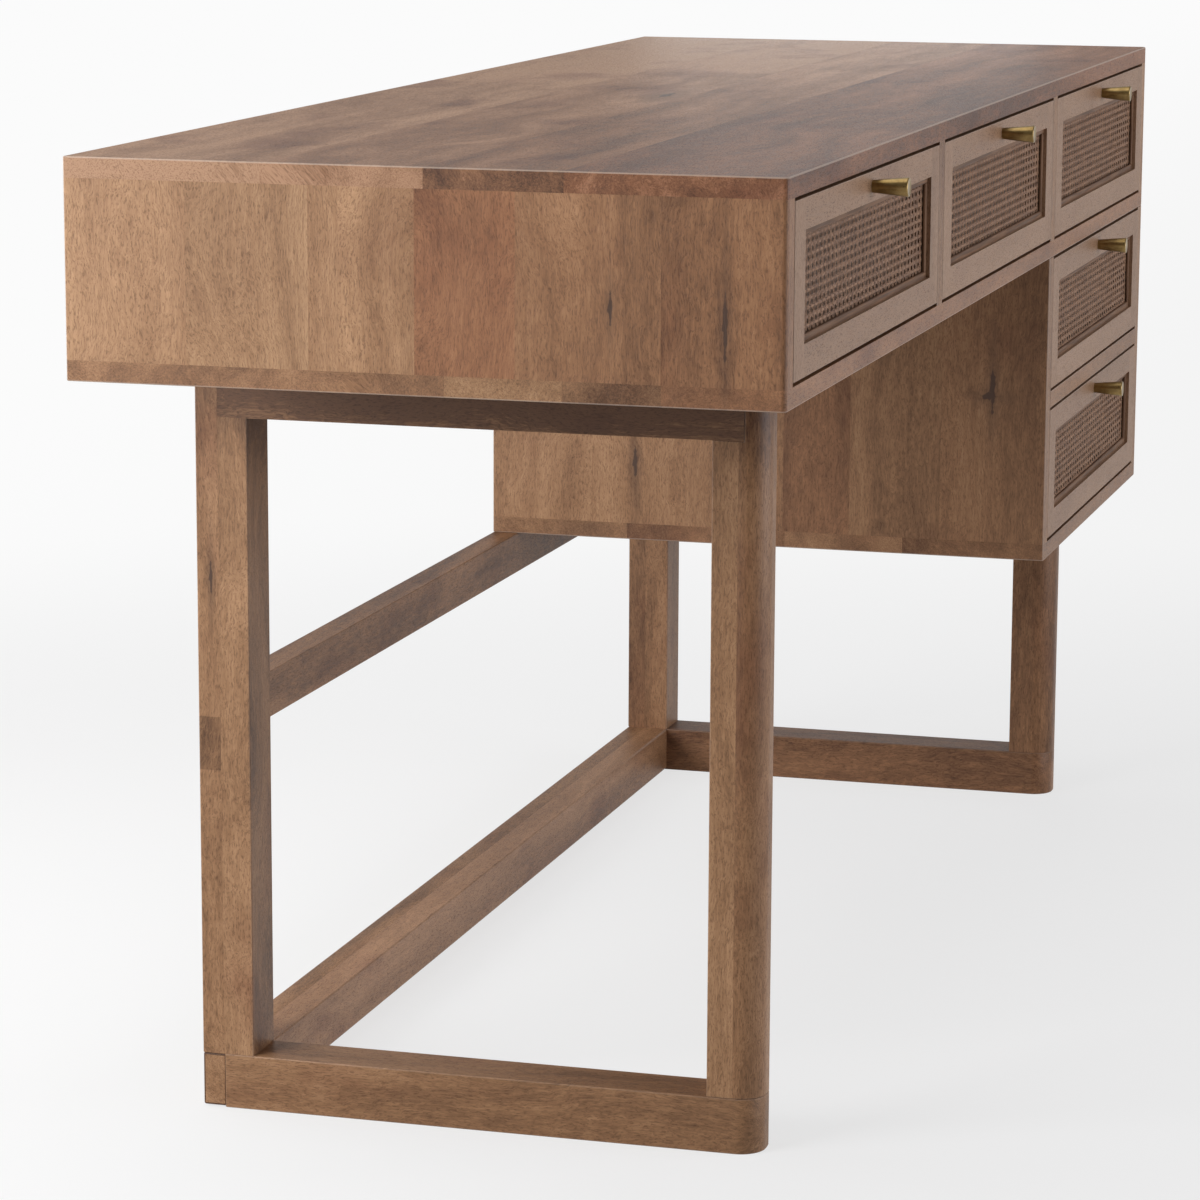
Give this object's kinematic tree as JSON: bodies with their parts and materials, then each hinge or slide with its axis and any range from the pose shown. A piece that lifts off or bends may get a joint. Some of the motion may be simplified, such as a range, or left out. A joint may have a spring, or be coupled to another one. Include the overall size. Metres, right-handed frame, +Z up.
{
  "type": "writing desk",
  "caption": "Wooden writing desk with a shallow drawer case, a drawer pedestal at the right, cane drawer panels, tapered knobs and sled leg frames joined by stretchers.",
  "frame": {"origin": "on the floor under the middle of the desk's box, knobs included", "axes": "+X to the right for someone facing the drawers, +Y from the drawers to the back, +Z up"},
  "size_m": [1.524, 0.547, 0.762],
  "materials": {
    "top_wood": "satin brown stain",
    "case_wood": "satin brown stain",
    "leg_wood": "satin brown stain",
    "drawer_front_wood": "satin brown stain",
    "woven_cane": "stained woven cane",
    "drawer_box_wood": "clear satin",
    "antique_brass": "brushed antique brass",
    "slide_steel": "zinc plated"
  },
  "bodies": {
    "desk": {"top_board": "top_wood", "case_bottom": "case_wood", "left_end_panel": "case_wood", "right_end_panel": "case_wood", "drawer_divider": "case_wood", "pedestal_divider": "case_wood", "case_back": "case_wood", "pedestal_bottom": "case_wood", "pedestal_right_side": "case_wood", "pedestal_left_side": "case_wood", "pedestal_shelf": "case_wood", "pedestal_back": "case_wood", "left_bottom_rail": "leg_wood", "left_front_leg": "leg_wood", "left_back_leg": "leg_wood", "left_top_rail": "leg_wood", "right_bottom_rail": "leg_wood", "right_front_leg": "leg_wood", "right_back_leg": "leg_wood", "right_top_rail": "leg_wood", "lower_stretcher": "leg_wood", "upper_stretcher": "leg_wood", "frame_bolts": "slide_steel", "slide_channels": "slide_steel"},
    "left_drawer": {"left_drawer_front_frame": "drawer_front_wood", "left_drawer_cane": "woven_cane", "left_drawer_sides": "drawer_box_wood", "left_drawer_ends": "drawer_box_wood", "left_drawer_bottom": "drawer_box_wood", "left_drawer_slide_rails": "slide_steel", "left_drawer_knob": "antique_brass"},
    "middle_drawer": {"middle_drawer_front_frame": "drawer_front_wood", "middle_drawer_cane": "woven_cane", "middle_drawer_sides": "drawer_box_wood", "middle_drawer_ends": "drawer_box_wood", "middle_drawer_bottom": "drawer_box_wood", "middle_drawer_slide_rails": "slide_steel", "middle_drawer_knob": "antique_brass"},
    "right_drawer": {"right_drawer_front_frame": "drawer_front_wood", "right_drawer_cane": "woven_cane", "right_drawer_sides": "drawer_box_wood", "right_drawer_ends": "drawer_box_wood", "right_drawer_bottom": "drawer_box_wood", "right_drawer_slide_rails": "slide_steel", "right_drawer_knob": "antique_brass"},
    "upper_stack_drawer": {"upper_stack_drawer_front_frame": "drawer_front_wood", "upper_stack_drawer_cane": "woven_cane", "upper_stack_drawer_sides": "drawer_box_wood", "upper_stack_drawer_ends": "drawer_box_wood", "upper_stack_drawer_bottom": "drawer_box_wood", "upper_stack_drawer_slide_rails": "slide_steel", "upper_stack_drawer_knob": "antique_brass"},
    "lower_stack_drawer": {"lower_stack_drawer_front_frame": "drawer_front_wood", "lower_stack_drawer_cane": "woven_cane", "lower_stack_drawer_sides": "drawer_box_wood", "lower_stack_drawer_ends": "drawer_box_wood", "lower_stack_drawer_bottom": "drawer_box_wood", "lower_stack_drawer_slide_rails": "slide_steel", "lower_stack_drawer_knob": "antique_brass"}
  },
  "joints": [
    {"name": "left_drawer_slide", "type": "slide", "parent": "desk", "child": "left_drawer", "axis": [0, -1, 0], "range_m": [0, 0.3]},
    {"name": "middle_drawer_slide", "type": "slide", "parent": "desk", "child": "middle_drawer", "axis": [0, -1, 0], "range_m": [0, 0.3]},
    {"name": "right_drawer_slide", "type": "slide", "parent": "desk", "child": "right_drawer", "axis": [0, -1, 0], "range_m": [0, 0.3]},
    {"name": "upper_stack_drawer_slide", "type": "slide", "parent": "desk", "child": "upper_stack_drawer", "axis": [0, -1, 0], "range_m": [0, 0.3]},
    {"name": "lower_stack_drawer_slide", "type": "slide", "parent": "desk", "child": "lower_stack_drawer", "axis": [0, -1, 0], "range_m": [0, 0.3]}
  ]
}
